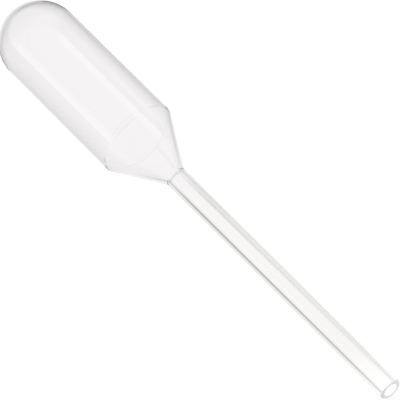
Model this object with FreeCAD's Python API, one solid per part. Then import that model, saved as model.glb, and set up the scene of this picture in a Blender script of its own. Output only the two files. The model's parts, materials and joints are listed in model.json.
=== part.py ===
import FreeCAD, Part
import math
import os

# A dropper pipette, blown from one tube of soft polyethylene. It is a thin-walled body of
# revolution: a domed bulb, a short cone and a long straight stem, cut square and open at the tip.
# All sizes are in millimetres. Distances along the axis are counted from the bulb's closed end.

# Outside
TOTAL_LENGTH = 104.0
BULB_RADIUS = 7.5
SHOULDER_POSITION = 35.2   # where the bulb's straight side and the cone would meet if sharp
NECK_POSITION = 45.5       # where the cone and the stem would meet if sharp
STEM_RADIUS = 2.0
SHOULDER_ROUNDING = 2.0
NECK_ROUNDING = 0.8

# Inside
BULB_WALL = 0.5
DOME_THICKENING = 0.1      # how much thicker than the bulb's side the closed end is
BORE_RADIUS = 1.33
INNER_SHOULDER_ROUNDING = 4.0
INNER_NECK_ROUNDING = 1.5
NECK_WALL_SHIFT = 0.2      # the inner neck lies this much nearer to the bulb than the outer one


def point(along, radius):
    """A point of the half section, in the plane of the axis, with the axis along +X."""
    return FreeCAD.Vector(along, 0.0, radius)


def line(start, end):
    """A straight edge."""
    return Part.makeLine(start, end)


def dome(centre, radius):
    """The quarter circle from the axis to the bulb's straight side."""
    halfway = radius * math.sqrt(0.5)
    start = point(centre - radius, 0.0)
    middle = point(centre - halfway, halfway)
    return Part.Arc(start, middle, point(centre, radius)).toShape()


def rounded_corner(before, corner, after, radius):
    """The arc of the given radius that replaces the corner between two straight runs."""
    back = (before - corner).normalize()
    ahead = (after - corner).normalize()
    half_angle = back.getAngle(ahead) / 2
    reach = radius / math.tan(half_angle)
    to_centre = (back + ahead).normalize()
    depth = radius / math.sin(half_angle) - radius
    return Part.Arc(corner + back * reach, corner + to_centre * depth, corner + ahead * reach).toShape()


def wall_line(dome_edge, shoulder, neck, tip, shoulder_radius, neck_radius):
    """One side of the wall: the dome, the bulb's side, the cone and the stem, in that order."""
    side_start = dome_edge.lastVertex().Point
    shoulder_arc = rounded_corner(side_start, shoulder, neck, shoulder_radius)
    neck_arc = rounded_corner(shoulder, neck, tip, neck_radius)
    return [
        dome_edge,
        line(side_start, shoulder_arc.firstVertex().Point),
        shoulder_arc,
        line(shoulder_arc.lastVertex().Point, neck_arc.firstVertex().Point),
        neck_arc,
        line(neck_arc.lastVertex().Point, tip),
    ]


def outer_line():
    """The outside of the wall."""
    return wall_line(
        dome(BULB_RADIUS, BULB_RADIUS),
        point(SHOULDER_POSITION, BULB_RADIUS),
        point(NECK_POSITION, STEM_RADIUS),
        point(TOTAL_LENGTH, STEM_RADIUS),
        SHOULDER_ROUNDING,
        NECK_ROUNDING,
    )


def inner_line():
    """The inside of the wall: even round the bulb, thicker at the closed end and along the stem."""
    inner_radius = BULB_RADIUS - BULB_WALL
    cone_slope = (BULB_RADIUS - STEM_RADIUS) / (NECK_POSITION - SHOULDER_POSITION)
    shoulder_shift = BULB_WALL * math.tan(math.atan(cone_slope) / 2)
    return wall_line(
        dome(BULB_RADIUS + DOME_THICKENING, inner_radius),
        point(SHOULDER_POSITION - shoulder_shift, inner_radius),
        point(NECK_POSITION - NECK_WALL_SHIFT, BORE_RADIUS),
        point(TOTAL_LENGTH, BORE_RADIUS),
        INNER_SHOULDER_ROUNDING,
        INNER_NECK_ROUNDING,
    )


def tube():
    """The whole wall turned about its axis, lying along +X with the closed end at the origin."""
    outside = outer_line()
    inside = inner_line()
    closed_end = line(inside[0].firstVertex().Point, outside[0].firstVertex().Point)
    tip_face = line(outside[-1].lastVertex().Point, inside[-1].lastVertex().Point)
    section = Part.Face(Part.Wire(Part.__sortEdges__([closed_end, *outside, tip_face, *inside])))
    return section.revolve(FreeCAD.Vector(0, 0, 0), FreeCAD.Vector(1, 0, 0), 360)


def resting_angle():
    """How far the tip drops, in radians, when the rounded shoulder and the tip's edge touch a table."""
    cone_angle = math.atan((BULB_RADIUS - STEM_RADIUS) / (NECK_POSITION - SHOULDER_POSITION))
    arc_centre = SHOULDER_POSITION - SHOULDER_ROUNDING * math.tan(cone_angle / 2)
    along = TOTAL_LENGTH - arc_centre
    across = BULB_RADIUS - SHOULDER_ROUNDING - STEM_RADIUS
    return math.atan2(across, along) + math.asin(SHOULDER_ROUNDING / math.hypot(along, across))


def laid_down(shape):
    """The tube at rest on the plane z = 0, with the origin under the middle of its length."""
    angle = resting_angle()
    lowest = TOTAL_LENGTH * math.sin(angle) + STEM_RADIUS * math.cos(angle)
    left = BULB_RADIUS * math.cos(angle) - BULB_RADIUS
    right = TOTAL_LENGTH * math.cos(angle) + STEM_RADIUS * math.sin(angle)
    shape.rotate(FreeCAD.Vector(0, 0, 0), FreeCAD.Vector(0, 1, 0), math.degrees(angle))
    shape.translate(FreeCAD.Vector(-(left + right) / 2, 0, lowest))
    return shape


os.makedirs("parts", exist_ok=True)
laid_down(tube()).exportStep("parts/pipette.step")
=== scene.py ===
import json
import math

import bmesh
import bpy
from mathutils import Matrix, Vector


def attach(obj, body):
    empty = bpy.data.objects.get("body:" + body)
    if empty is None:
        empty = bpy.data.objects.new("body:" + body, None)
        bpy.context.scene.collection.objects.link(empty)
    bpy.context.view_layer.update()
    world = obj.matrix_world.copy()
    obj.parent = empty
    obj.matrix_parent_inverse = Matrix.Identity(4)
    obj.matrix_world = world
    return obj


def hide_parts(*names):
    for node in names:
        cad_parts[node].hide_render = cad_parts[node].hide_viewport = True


# A dropper pipette of thin, clear, slightly hazy polyethylene, lying on a white table under a soft
# tent of light. Blender works in metres. The tube's profile is given in millimetres, as distance
# along its axis from the bulb's closed end, and radius.

MM = 0.001

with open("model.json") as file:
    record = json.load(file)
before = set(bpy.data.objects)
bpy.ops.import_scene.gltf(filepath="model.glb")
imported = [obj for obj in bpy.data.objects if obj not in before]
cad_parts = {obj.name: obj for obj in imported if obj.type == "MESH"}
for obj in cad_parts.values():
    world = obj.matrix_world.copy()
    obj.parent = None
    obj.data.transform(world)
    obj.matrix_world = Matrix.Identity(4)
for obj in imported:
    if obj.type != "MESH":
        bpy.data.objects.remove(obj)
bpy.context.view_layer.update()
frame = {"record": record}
mounts = {mount["name"]: mount for mount in frame["record"]["mounts"]}

# The tube's own axis. The stem's mount gives its line, and half the mount's length leads to the tip.
AXIS = Vector(mounts["stem"]["axis"]).normalized()
SIDE = Vector((0.0, 1.0, 0.0))
UP = AXIS.cross(SIDE).normalized()
TOTAL_LENGTH = 104.0
TIP = Vector(mounts["stem"]["pos_m"]) + AXIS * mounts["stem"]["dims"]["length_mm"] / 2 * MM
CLOSED_END = TIP - AXIS * TOTAL_LENGTH * MM

# Outside of the tube. Its corners are a little sharper than those of the CAD part. The shoulder lies
# 0.25 mm nearer to the closed end than there, so that its sharper corner doesn't reach into the table.
BULB_RADIUS = 7.5
STEM_RADIUS = mounts["stem"]["dims"]["r_mm"]
SHOULDER_POSITION = 34.95
NECK_POSITION = 45.5
SHOULDER_ROUNDING = 0.8
NECK_ROUNDING = 0.6

# Inside of the tube. The inner neck lies right under the outer one.
BULB_WALL = 0.5
DOME_THICKENING = 0.1
BORE_RADIUS = mounts["bore"]["dims"]["r_mm"]
INNER_SHOULDER_ROUNDING = 1.5
INNER_NECK_ROUNDING = 0.15

# The open tip's edges are slightly rounded.
TIP_ROUNDING = 0.22
INNER_TIP_ROUNDING = 0.15

# The outer skin lies this far inside the true surface, and so inside the box of the frame's facets.
SKIN_INSET = 0.003

# Fineness of the mesh: faces round the tube, steps along the dome and along each corner, and the length
# of a step along the straight runs.
SEGMENTS = 160
DOME_STEPS = 36
CORNER_STEPS = 10
RUN_STEP = 0.9

# Numbers of the wall's two materials
PLASTIC = 0
CUT_FACE = 1

# Camera. Angles are in degrees, the distance is in metres, and the focal length in millimetres. It aims
# at a place on the axis, in millimetres from the closed end. The shift is a share of the picture.
VIEW_AZIMUTH = 51.04
VIEW_ELEVATION = 47.155
VIEW_DISTANCE = 1.0713
AIM_POSITION = 52.3
FOCAL_LENGTH = 556.15
LENS_SHIFT = 0.0009
CLIP_START = 0.01
CLIP_END = 20.0

# Plastic. The tints are what light keeps in passing a wall. They change along X, in metres. The scales
# are lumps in a metre along X, Y and Z, and the wave's height is in metres.
BULB_TINT = (1.0, 0.990, 0.995, 1.0)
STEM_TINT = (1.0, 0.996, 0.989, 1.0)
TINT_CHANGE = (-0.012, 0.004)
CLEAR_ROUGHNESS = 0.006
HAZY_ROUGHNESS = 0.03
PLASTIC_IOR = 1.51
SHADOW_TINT = 0.97
HAZE_SCALE = (90.0, 320.0, 320.0)
HAZE_DETAIL = 4.0
HAZE_RANGE = (0.3, 0.75)
WAVE_HEIGHT = 0.000006
WAVE_SCALE = (60.0, 260.0, 260.0)
WAVE_DETAIL = 1.0

# The cut face at the tip
CUT_TINT = 0.88
CUT_TRANSMISSION = 0.3
CUT_ROUGHNESS = 0.5

# Painted shade: fine grey lines across the plastic, in colour only, which stand in for the dark lines
# that the shoulder's two creases and the rim of the bore's mouth show as they bend light. They are
# painted only on the near, upper side, which faces the camera. Each has its place along the axis, its
# width, its strength, and two distances from the axis between which it fades in. The distances are
# taken to the side that is turned this far from the top, in degrees towards the far side.
PAINTED_LINES_TURN = -30
PAINTED_SHADE_LINES = (
    (34.7, 0.15, 0.16, 6.5, 7.1),
    (35.5, 0.15, 0.4, 6.5, 7.1),
    (46.3, 0.25, 1.0, 0.6, 1.2),
)
# The grey of the painted shade lines
PAINTED_LINE_SHADE = (0.70, 0.69, 0.695, 1.0)

# Light, uneven so that the clear plastic shows its grey bands. Brightness 1 is the white of the finished
# picture. The tent's brightness goes by height in degrees, from the far horizon over the top to the near
# one: dimmer low down behind the tube, even over the top, and falling a little to the near horizon. A
# window low on the near side adds to it. Its shares go by that same height and by the direction's part
# along X.
BRIGHTEST = 1.5
TENT = ((0, 0.75), (30, 0.90), (32, 1.10), (140, 1.10), (180, 0.95))
WINDOW_BRIGHTNESS = 0.45
WINDOW_UP = ((0, 0.0), (155, 0.0), (160, 0.7), (180, 1.0))
WINDOW_ALONG = ((-1.0, 0.0), (-0.7, 0.0), (-0.5, 1.0), (-0.25, 1.0), (-0.05, 0.0), (1.0, 0.0))

# The table is plain white to the camera. To other rays, and so in the plastic, it glows, and the glow
# carries painted shade and light. The glow's brightness goes by sideways place in metres, from the near
# side to the far one. Beside the bulb it is pale beneath the tube, with painted shadows on both sides.
# Beside the stem a narrow painted shadow lies close on each side. A soft change along X joins the two.
# By place along X, the ends are dimmer than the middle, and a painted brighter patch lies around the tip.
TABLE_REACH = 0.16
TABLE_SHADE_BY_BULB = (
    (-0.16, 0.75), (-0.035, 0.50), (-0.013, 0.50), (-0.0035, 0.93), (0.003, 0.87), (0.011, 0.90),
    (0.021, 0.65), (0.16, 0.85),
)
TABLE_SHADE_BY_STEM = (
    (-0.16, 0.80), (-0.060, 0.85), (-0.014, 1.10), (-0.009, 0.40), (-0.0035, 0.40), (-0.002, 0.90),
    (0.005, 0.90), (0.010, 0.55), (0.018, 1.00), (0.16, 0.70),
)
TABLE_CHANGE = (-0.016, -0.002)
TABLE_LIGHT_ALONG = (
    (-0.16, 0.75), (-0.075, 0.75), (-0.056, 1.0), (0.040, 1.0), (0.050, 1.15), (0.080, 1.0), (0.16, 0.9),
)

# What the camera sees past the table, the table's own white, and half of its width in metres
BACKDROP_BRIGHTNESS = 1.1
TABLE_WHITE = 0.96
FLOOR_HALF_SIZE = 1.5

# Light crosses many walls of the clear plastic.
LIGHT_BOUNCES = 24


def direction(azimuth, elevation):
    """The unit vector towards an azimuth and elevation in degrees. Azimuth 0 is -Y and 90 is +X."""
    azimuth = math.radians(azimuth)
    elevation = math.radians(elevation)
    flat = math.cos(elevation)
    return Vector((math.sin(azimuth) * flat, -math.cos(azimuth) * flat, math.sin(elevation)))


def add_object(name, data):
    """A new object in the scene."""
    made = bpy.data.objects.new(name, data)
    bpy.context.scene.collection.objects.link(made)
    return made


def add_camera():
    """A long lens that looks down on the tube from beyond its tip, with the horizon level."""
    lens = bpy.data.cameras.new("camera")
    lens.lens = FOCAL_LENGTH
    lens.shift_x = LENS_SHIFT
    lens.shift_y = LENS_SHIFT
    lens.clip_start = CLIP_START
    lens.clip_end = CLIP_END
    camera = add_object("camera", lens)
    away = direction(VIEW_AZIMUTH, VIEW_ELEVATION)
    camera.location = CLOSED_END + AXIS * AIM_POSITION * MM + away * VIEW_DISTANCE
    camera.rotation_mode = "QUATERNION"
    camera.rotation_quaternion = (-away).to_track_quat("-Z", "Y")
    bpy.context.scene.camera = camera


# ---- the shape of the tube ----


def rounded_corner(before, corner, after, radius):
    """Points along the arc that replaces a corner between two straight runs."""
    back = (before - corner).normalized()
    ahead = (after - corner).normalized()
    half_angle = back.angle(ahead) / 2
    reach = radius / math.tan(half_angle)
    centre = corner + (back + ahead).normalized() * radius / math.sin(half_angle)
    start = corner + back * reach - centre
    end = corner + ahead * reach - centre
    turn = start.angle(end)
    points = []
    for step in range(CORNER_STEPS + 1):
        share = step / CORNER_STEPS
        weight_start = math.sin((1 - share) * turn) / math.sin(turn)
        weight_end = math.sin(share * turn) / math.sin(turn)
        points.append(centre + start * weight_start + end * weight_end)
    return points


def straight_run(start, end):
    """Points between the ends of a straight run, about RUN_STEP apart, without the ends."""
    steps = max(2, round((end - start).length / RUN_STEP))
    return [start.lerp(end, step / steps) for step in range(1, steps)]


def profile(
    dome_centre, radius, shoulder, neck, stem_radius, shoulder_rounding, neck_rounding, tip_rounding,
):
    """One side of the wall, from the closed end over dome, side, cone and stem to the tip."""
    points = []
    for step in range(DOME_STEPS + 1):
        angle = math.pi / 2 * step / DOME_STEPS
        points.append(Vector((dome_centre - radius * math.cos(angle), radius * math.sin(angle))))
    shoulder = Vector((shoulder, radius))
    neck = Vector((neck, stem_radius))
    tip = Vector((TOTAL_LENGTH, stem_radius))
    tip_face = Vector((TOTAL_LENGTH, (STEM_RADIUS + BORE_RADIUS) / 2))
    shoulder_arc = rounded_corner(points[-1], shoulder, neck, shoulder_rounding)
    neck_arc = rounded_corner(shoulder, neck, tip, neck_rounding)
    tip_arc = rounded_corner(neck, tip, tip_face, tip_rounding)
    points += straight_run(points[-1], shoulder_arc[0]) + shoulder_arc
    points += straight_run(shoulder_arc[-1], neck_arc[0]) + neck_arc
    points += straight_run(neck_arc[-1], tip_arc[0]) + tip_arc
    return points


def outer_profile():
    """The outside of the wall."""
    return profile(
        BULB_RADIUS, BULB_RADIUS - SKIN_INSET, SHOULDER_POSITION, NECK_POSITION, STEM_RADIUS - SKIN_INSET,
        SHOULDER_ROUNDING, NECK_ROUNDING, TIP_ROUNDING,
    )


def inner_profile():
    """The inside of the wall."""
    cone_slope = (BULB_RADIUS - STEM_RADIUS) / (NECK_POSITION - SHOULDER_POSITION)
    shoulder_shift = BULB_WALL * math.tan(math.atan(cone_slope) / 2)
    return profile(
        BULB_RADIUS + DOME_THICKENING, BULB_RADIUS - BULB_WALL, SHOULDER_POSITION - shoulder_shift,
        NECK_POSITION, BORE_RADIUS, INNER_SHOULDER_ROUNDING, INNER_NECK_ROUNDING,
        INNER_TIP_ROUNDING,
    )


def add_ring(mesh, point):
    """The vertices of one ring of a skin, or a single vertex on the axis."""
    centre = CLOSED_END + AXIS * point.x * MM
    if point.y == 0:
        return [mesh.verts.new(centre)]
    ring = []
    for step in range(SEGMENTS):
        angle = 2 * math.pi * step / SEGMENTS
        outward = UP * math.cos(angle) + SIDE * math.sin(angle)
        ring.append(mesh.verts.new(centre + outward * point.y * MM))
    return ring


def join_rings(mesh, first, second, material):
    """Faces between two rings of the wall, with the number of their material."""
    for step in range(SEGMENTS):
        after = (step + 1) % SEGMENTS
        corners = [second[step], second[after]]
        if len(first) == 1:
            corners.append(first[0])
        else:
            corners += [first[after], first[step]]
        face = mesh.faces.new(corners)
        face.smooth = True
        face.material_index = material


def add_wall():
    """The tube as one closed mesh: an outer skin, an inner skin and the flat ring at the tip."""
    mesh = bmesh.new()
    tips = []
    for points in (outer_profile(), inner_profile()):
        rings = [add_ring(mesh, point) for point in points]
        tip_start = len(rings) - 1 - CORNER_STEPS
        for step, (first, second) in enumerate(zip(rings, rings[1:])):
            join_rings(mesh, first, second, CUT_FACE if step >= tip_start else PLASTIC)
        tips.append(rings[-1])
    join_rings(mesh, *tips, CUT_FACE)
    bmesh.ops.recalc_face_normals(mesh, faces=mesh.faces)
    data = bpy.data.meshes.new("pipette_wall")
    mesh.to_mesh(data)
    mesh.free()
    return add_object("pipette_wall", data)


# ---- materials ----


def grey(brightness):
    """A grey colour."""
    return (brightness, brightness, brightness, 1.0)


def new_material(name):
    """A new material with its nodes, links and Principled shader."""
    material = bpy.data.materials.new(name)
    material.use_nodes = True
    nodes = material.node_tree.nodes
    return material, nodes, material.node_tree.links, nodes["Principled BSDF"]


def combine(nodes, links, operation, first, second):
    """Two values put together by a Math node."""
    node = nodes.new("ShaderNodeMath")
    node.operation = operation
    links.new(first, node.inputs[0])
    links.new(second, node.inputs[1])
    return node.outputs["Value"]


def blend(nodes, links, factor, first, second):
    """A colour that goes from the first to the second. Each is a colour or an output."""
    node = nodes.new("ShaderNodeMix")
    node.data_type = "RGBA"
    links.new(factor, node.inputs["Factor"])
    for name, colour in (("A", first), ("B", second)):
        if isinstance(colour, tuple):
            node.inputs[name].default_value = colour
        else:
            links.new(colour, node.inputs[name])
    return node.outputs["Result"]


def spread(nodes, links, source, low, high, start=0.0, end=1.0):
    """A value running from start to end as the source runs from low to high."""
    node = nodes.new("ShaderNodeMapRange")
    node.inputs["From Min"].default_value = low
    node.inputs["From Max"].default_value = high
    node.inputs["To Min"].default_value = start
    node.inputs["To Max"].default_value = end
    links.new(source, node.inputs["Value"])
    return node.outputs["Result"]


def cloud(nodes, links, place, scale, detail):
    """A cloudy value from 0 to 1. Its scale is the number of lumps in a metre along X, Y and Z."""
    stretch = nodes.new("ShaderNodeMapping")
    stretch.inputs["Scale"].default_value = scale
    links.new(place, stretch.inputs["Vector"])
    noise = nodes.new("ShaderNodeTexNoise")
    noise.inputs["Scale"].default_value = 1.0
    noise.inputs["Detail"].default_value = detail
    links.new(stretch.outputs["Vector"], noise.inputs["Vector"])
    return noise.outputs["Fac"]


def distance(nodes, links, place, way):
    """How far a place lies from the bulb's closed end, in millimetres, in the way of a unit vector."""
    dot = nodes.new("ShaderNodeVectorMath")
    dot.operation = "DOT_PRODUCT"
    links.new(place, dot.inputs[0])
    dot.inputs[1].default_value = way / MM
    take = nodes.new("ShaderNodeMath")
    take.operation = "SUBTRACT"
    links.new(dot.outputs["Value"], take.inputs[0])
    take.inputs[1].default_value = CLOSED_END.dot(way) / MM
    return take.outputs["Value"]


def painted_line_shade_strength(nodes, links, place):
    """The strength of the painted shade lines across the plastic, 0 elsewhere."""
    along = distance(nodes, links, place, AXIS)
    turn = math.radians(PAINTED_LINES_TURN)
    outward = distance(nodes, links, place, UP * math.cos(turn) + SIDE * math.sin(turn))
    total = None
    for position, width, strength, fade_low, fade_high in PAINTED_SHADE_LINES:
        near = nodes.new("ShaderNodeMath")
        near.operation = "COMPARE"
        links.new(along, near.inputs[0])
        near.inputs[1].default_value = position
        near.inputs[2].default_value = width / 2
        fade = spread(nodes, links, outward, fade_low, fade_high, 0.0, strength)
        line = combine(nodes, links, "MULTIPLY", near.outputs["Value"], fade)
        total = combine(nodes, links, "ADD", total, line) if total else line
    return total


def polyethylene():
    """Clear polyethylene, faintly lilac in the thin bulb and warmer in the thick stem.

    The haze and the slight waves of the blown wall follow the tube. Grey lines of painted shade
    cross it at the shoulder's creases and the bore's rim. Its shadow is thin.
    """
    material, nodes, links, shader = new_material("polyethylene")
    shader.inputs["Transmission Weight"].default_value = 1.0
    shader.inputs["IOR"].default_value = PLASTIC_IOR
    place = nodes.new("ShaderNodeTexCoord").outputs["Object"]
    split = nodes.new("ShaderNodeSeparateXYZ")
    links.new(place, split.inputs["Vector"])
    tint = blend(nodes, links, spread(nodes, links, split.outputs["X"], *TINT_CHANGE), BULB_TINT, STEM_TINT)
    # Painted shade: the grey lines darken the tint at the shoulder's creases and the bore's rim.
    tint_and_painted_lines = blend(nodes, links, painted_line_shade_strength(nodes, links, place), tint, PAINTED_LINE_SHADE)
    links.new(tint_and_painted_lines, shader.inputs["Base Color"])
    haze = cloud(nodes, links, place, HAZE_SCALE, HAZE_DETAIL)
    roughness = spread(nodes, links, haze, *HAZE_RANGE, CLEAR_ROUGHNESS, HAZY_ROUGHNESS)
    links.new(roughness, shader.inputs["Roughness"])
    waves = nodes.new("ShaderNodeBump")
    waves.inputs["Strength"].default_value = 1.0
    waves.inputs["Distance"].default_value = WAVE_HEIGHT
    links.new(cloud(nodes, links, place, WAVE_SCALE, WAVE_DETAIL), waves.inputs["Height"])
    links.new(waves.outputs["Normal"], shader.inputs["Normal"])
    clear = nodes.new("ShaderNodeBsdfTransparent")
    clear.inputs["Color"].default_value = grey(SHADOW_TINT)
    mix_by_ray(nodes, links, "Is Shadow Ray", shader.outputs["BSDF"], clear.outputs["BSDF"])
    return material


def cut_polyethylene():
    """The cut face at the tip: the same plastic, matt and pale where the blade went through."""
    material, _, _, shader = new_material("cut_polyethylene")
    shader.inputs["Base Color"].default_value = grey(CUT_TINT)
    shader.inputs["Transmission Weight"].default_value = CUT_TRANSMISSION
    shader.inputs["IOR"].default_value = PLASTIC_IOR
    shader.inputs["Roughness"].default_value = CUT_ROUGHNESS
    return material


# ---- table and tent ----


def mix_by_ray(nodes, links, ray, usual, special):
    """Give a material one shader for a kind of ray, and its usual shader for all others."""
    mix = nodes.new("ShaderNodeMixShader")
    links.new(nodes.new("ShaderNodeLightPath").outputs[ray], mix.inputs["Fac"])
    links.new(usual, mix.inputs[1])
    links.new(special, mix.inputs[2])
    links.new(mix.outputs["Shader"], nodes["Material Output"].inputs["Surface"])


def ramp(nodes, links, source, steps, low, high, full):
    """A grey by place. The source is 0 at low and 1 at high, and full is the value that gives white."""
    node = nodes.new("ShaderNodeValToRGB")
    elements = node.color_ramp.elements
    stops = [((place - low) / (high - low), value / full) for place, value in steps]
    elements[0].position, elements[1].position = stops[0][0], stops[-1][0]
    for position, _ in stops[1:-1]:
        elements.new(position)
    for element, (_, brightness) in zip(elements, stops):
        element.color = grey(brightness)
    links.new(source, node.inputs["Fac"])
    return node.outputs["Color"]


def painted_table_light(nodes, links):
    """The table's glow in the plastic, with its painted shade and light, as a share of the square of
    BRIGHTEST.
    """
    split = nodes.new("ShaderNodeSeparateXYZ")
    links.new(nodes.new("ShaderNodeTexCoord").outputs["Object"], split.inputs["Vector"])
    reach = (-TABLE_REACH, TABLE_REACH)
    sideways = spread(nodes, links, split.outputs["Y"], *reach)
    lengthways = spread(nodes, links, split.outputs["X"], *reach)
    change = spread(nodes, links, split.outputs["X"], *TABLE_CHANGE)
    change.node.interpolation_type = "SMOOTHSTEP"
    by_bulb = ramp(nodes, links, sideways, TABLE_SHADE_BY_BULB, *reach, BRIGHTEST)
    by_stem = ramp(nodes, links, sideways, TABLE_SHADE_BY_STEM, *reach, BRIGHTEST)
    across = blend(nodes, links, change, by_bulb, by_stem)
    along = ramp(nodes, links, lengthways, TABLE_LIGHT_ALONG, *reach, BRIGHTEST)
    return combine(nodes, links, "MULTIPLY", across, along)


def add_floor():
    """The table: plain matt white to the camera, and to every other ray a glow carrying painted shade and
    light.
    """
    mesh = bmesh.new()
    bmesh.ops.create_grid(mesh, x_segments=1, y_segments=1, size=FLOOR_HALF_SIZE)
    data = bpy.data.meshes.new("floor")
    mesh.to_mesh(data)
    mesh.free()
    floor = add_object("floor", data)
    material, nodes, links, shader = new_material("floor")
    shader.inputs["Base Color"].default_value = grey(TABLE_WHITE)
    shader.inputs["Roughness"].default_value = 1.0
    shader.inputs["Specular IOR Level"].default_value = 0.0
    glow = nodes.new("ShaderNodeEmission")
    links.new(painted_table_light(nodes, links), glow.inputs["Color"])
    glow.inputs["Strength"].default_value = BRIGHTEST * BRIGHTEST
    mix_by_ray(nodes, links, "Is Camera Ray", glow.outputs["Emission"], shader.outputs["BSDF"])
    data.materials.append(material)


def add_tent():
    """Light from all round, by height from the far horizon over the top to the near one, and a window."""
    world = bpy.data.worlds.new("tent")
    bpy.context.scene.world = world
    world.use_nodes = True
    nodes = world.node_tree.nodes
    links = world.node_tree.links
    split = nodes.new("ShaderNodeSeparateXYZ")
    links.new(nodes.new("ShaderNodeTexCoord").outputs["Generated"], split.inputs["Vector"])
    turn = combine(nodes, links, "ARCTAN2", split.outputs["Z"], split.outputs["Y"])
    height = spread(nodes, links, turn, 0.0, math.pi)
    lengthways = spread(nodes, links, split.outputs["X"], -1.0, 1.0)
    glow = ramp(nodes, links, height, TENT, 0, 180, BRIGHTEST)
    window_up = ramp(nodes, links, height, WINDOW_UP, 0, 180, 1.0)
    window_along = ramp(nodes, links, lengthways, WINDOW_ALONG, -1, 1, BRIGHTEST / WINDOW_BRIGHTNESS)
    window = combine(nodes, links, "MULTIPLY", window_up, window_along)
    total = combine(nodes, links, "ADD", glow, window)
    camera_ray = nodes.new("ShaderNodeLightPath").outputs["Is Camera Ray"]
    background = nodes["Background"]
    background.inputs["Strength"].default_value = BRIGHTEST
    seen = blend(nodes, links, camera_ray, total, grey(BACKDROP_BRIGHTNESS / BRIGHTEST))
    links.new(seen, background.inputs["Color"])


add_camera()
add_floor()
add_tent()
wall = add_wall()
wall.data.materials.append(polyethylene())
wall.data.materials.append(cut_polyethylene())
wall.visible_diffuse = False  # the table stays evenly white round the tube
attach(wall, "root")
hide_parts("pipette")
bpy.context.scene.view_settings.view_transform = "Standard"
bpy.context.scene.cycles.max_bounces = LIGHT_BOUNCES
bpy.context.scene.cycles.transmission_bounces = LIGHT_BOUNCES
bpy.context.scene.cycles.glossy_bounces = LIGHT_BOUNCES
